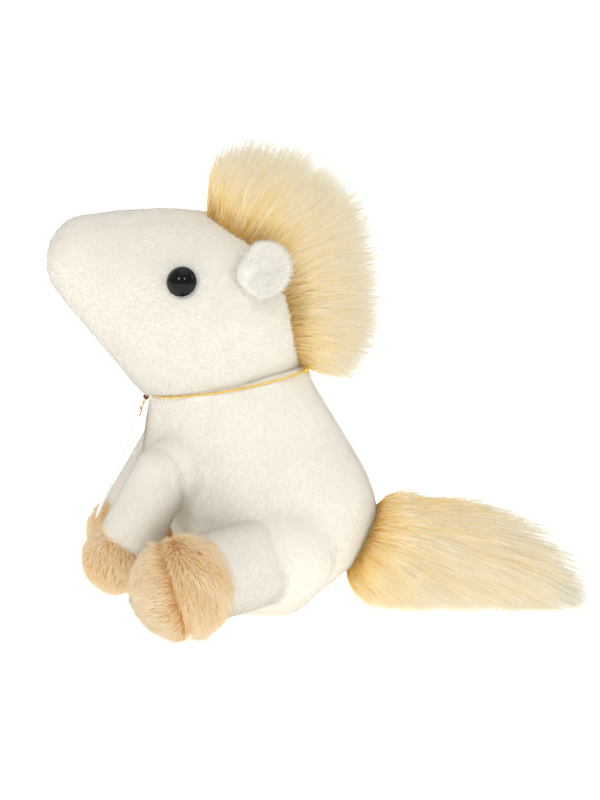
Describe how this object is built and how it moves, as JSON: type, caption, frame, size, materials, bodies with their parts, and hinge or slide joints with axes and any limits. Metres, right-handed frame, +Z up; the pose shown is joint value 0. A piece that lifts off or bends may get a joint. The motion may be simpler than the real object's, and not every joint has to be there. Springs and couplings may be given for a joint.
{
  "type": "plush pony",
  "caption": "Seated white plush pony with a long golden pile mane and tail, beige hooves, domed black eyes, a thin gold neck cord and a blank hang tag.",
  "frame": {"origin": "middle of the flat seat patch, on the surface that the toy sits on", "axes": "the pony faces -Y, its left side is +X and +Z is up; the tail lies along +Y"},
  "size_m": [0.1482, 0.2157, 0.1871],
  "materials": {
    "white_plush": "matte",
    "ear_plush": "matte",
    "gold_long_pile": "matte",
    "hoof_plush": "matte",
    "sole_plush": "matte",
    "polyester_stuffing": "matte",
    "pellet_bag": "matte",
    "black_eye": "gloss",
    "washer_plastic": "satin",
    "gold_cord": "satin",
    "bead_plastic": "satin",
    "tag_paper": "satin"
  },
  "bodies": {
    "torso": {"torso_panel_left": "white_plush", "torso_panel_right": "white_plush", "seat_patch": "white_plush", "pellet_pouch": "pellet_bag", "torso_stuffing": "polyester_stuffing", "neck_cord": "gold_cord", "cord_knot": "gold_cord"},
    "neck": {"neck_ball": "polyester_stuffing"},
    "head": {"head_panel_left": "white_plush", "head_panel_right": "white_plush", "head_gusset": "white_plush", "head_stuffing": "polyester_stuffing", "eye_left": "black_eye", "eye_right": "black_eye", "eye_washer_left": "washer_plastic", "eye_washer_right": "washer_plastic", "mane_backing": "gold_long_pile", "mane_pile": "gold_long_pile"},
    "ear_left": {"ear_outer_left": "ear_plush", "ear_lining_left": "ear_plush"},
    "ear_right": {"ear_outer_right": "ear_plush", "ear_lining_right": "ear_plush"},
    "fore_leg_left": {"fore_sleeve_left": "white_plush", "fore_hoof_left": "hoof_plush", "fore_sole_left": "sole_plush", "fore_stuffing_left": "polyester_stuffing"},
    "fore_leg_right": {"fore_sleeve_right": "white_plush", "fore_hoof_right": "hoof_plush", "fore_sole_right": "sole_plush", "fore_stuffing_right": "polyester_stuffing"},
    "hind_leg_left": {"hind_sleeve_left": "white_plush", "hind_hoof_left": "hoof_plush", "hind_sole_left": "sole_plush", "hind_stuffing_left": "polyester_stuffing"},
    "hind_leg_right": {"hind_sleeve_right": "white_plush", "hind_hoof_right": "hoof_plush", "hind_sole_right": "sole_plush", "hind_stuffing_right": "polyester_stuffing"},
    "tail_base": {"tail_root": "gold_long_pile"},
    "tail": {"tail_core": "gold_long_pile", "tail_pile": "gold_long_pile"},
    "tag": {"tag_bead": "bead_plastic", "tag_loop": "gold_cord", "tag_card": "tag_paper"}
  },
  "joints": [
    {"name": "neck_turn", "type": "hinge", "parent": "torso", "child": "neck", "pos_m": [0, -0.0125, 0.0925], "axis": [0, -0.1736, 0.9848], "range_deg": [-20, 20], "stiffness_Nm_per_rad": 0.4},
    {"name": "head_nod", "type": "hinge", "parent": "neck", "child": "head", "pos_m": [0, -0.0125, 0.0925], "axis": [1, 0, 0], "range_deg": [-8, 8], "stiffness_Nm_per_rad": 0.8},
    {"name": "ear_left_fold", "type": "hinge", "parent": "head", "child": "ear_left", "pos_m": [0.02536, -0.01039, 0.14121], "axis": [0.4391, 0.1069, -0.892], "range_deg": [-20, 30], "stiffness_Nm_per_rad": 0.002},
    {"name": "ear_right_fold", "type": "hinge", "parent": "head", "child": "ear_right", "pos_m": [-0.02536, -0.01039, 0.14121], "axis": [0.4391, -0.1069, 0.892], "range_deg": [-20, 30], "stiffness_Nm_per_rad": 0.002},
    {"name": "fore_leg_left_raise", "type": "hinge", "parent": "torso", "child": "fore_leg_left", "pos_m": [0.024, -0.038, 0.06], "axis": [-1, 0, 0], "range_deg": [0, 60], "stiffness_Nm_per_rad": 0.02},
    {"name": "fore_leg_right_raise", "type": "hinge", "parent": "torso", "child": "fore_leg_right", "pos_m": [-0.024, -0.038, 0.06], "axis": [-1, 0, 0], "range_deg": [0, 60], "stiffness_Nm_per_rad": 0.02},
    {"name": "hind_leg_left_spread", "type": "hinge", "parent": "torso", "child": "hind_leg_left", "pos_m": [0.03, 0.003, 0.028], "axis": [0, 0, 1], "range_deg": [0, 25], "stiffness_Nm_per_rad": 0.05},
    {"name": "hind_leg_right_spread", "type": "hinge", "parent": "torso", "child": "hind_leg_right", "pos_m": [-0.03, 0.003, 0.028], "axis": [0, 0, -1], "range_deg": [0, 25], "stiffness_Nm_per_rad": 0.05},
    {"name": "tail_swing", "type": "hinge", "parent": "torso", "child": "tail_base", "pos_m": [0, 0.04326, 0.03], "axis": [0, 0, 1], "range_deg": [-25, 25], "stiffness_Nm_per_rad": 0.03},
    {"name": "tail_lift", "type": "hinge", "parent": "tail_base", "child": "tail", "pos_m": [0, 0.04326, 0.03], "axis": [1, 0, 0], "range_deg": [0, 35]},
    {"name": "tag_swing", "type": "hinge", "parent": "torso", "child": "tag", "pos_m": [0, -0.04555, 0.08579], "axis": [-1, 0, 0], "range_deg": [0, 60]}
  ]
}
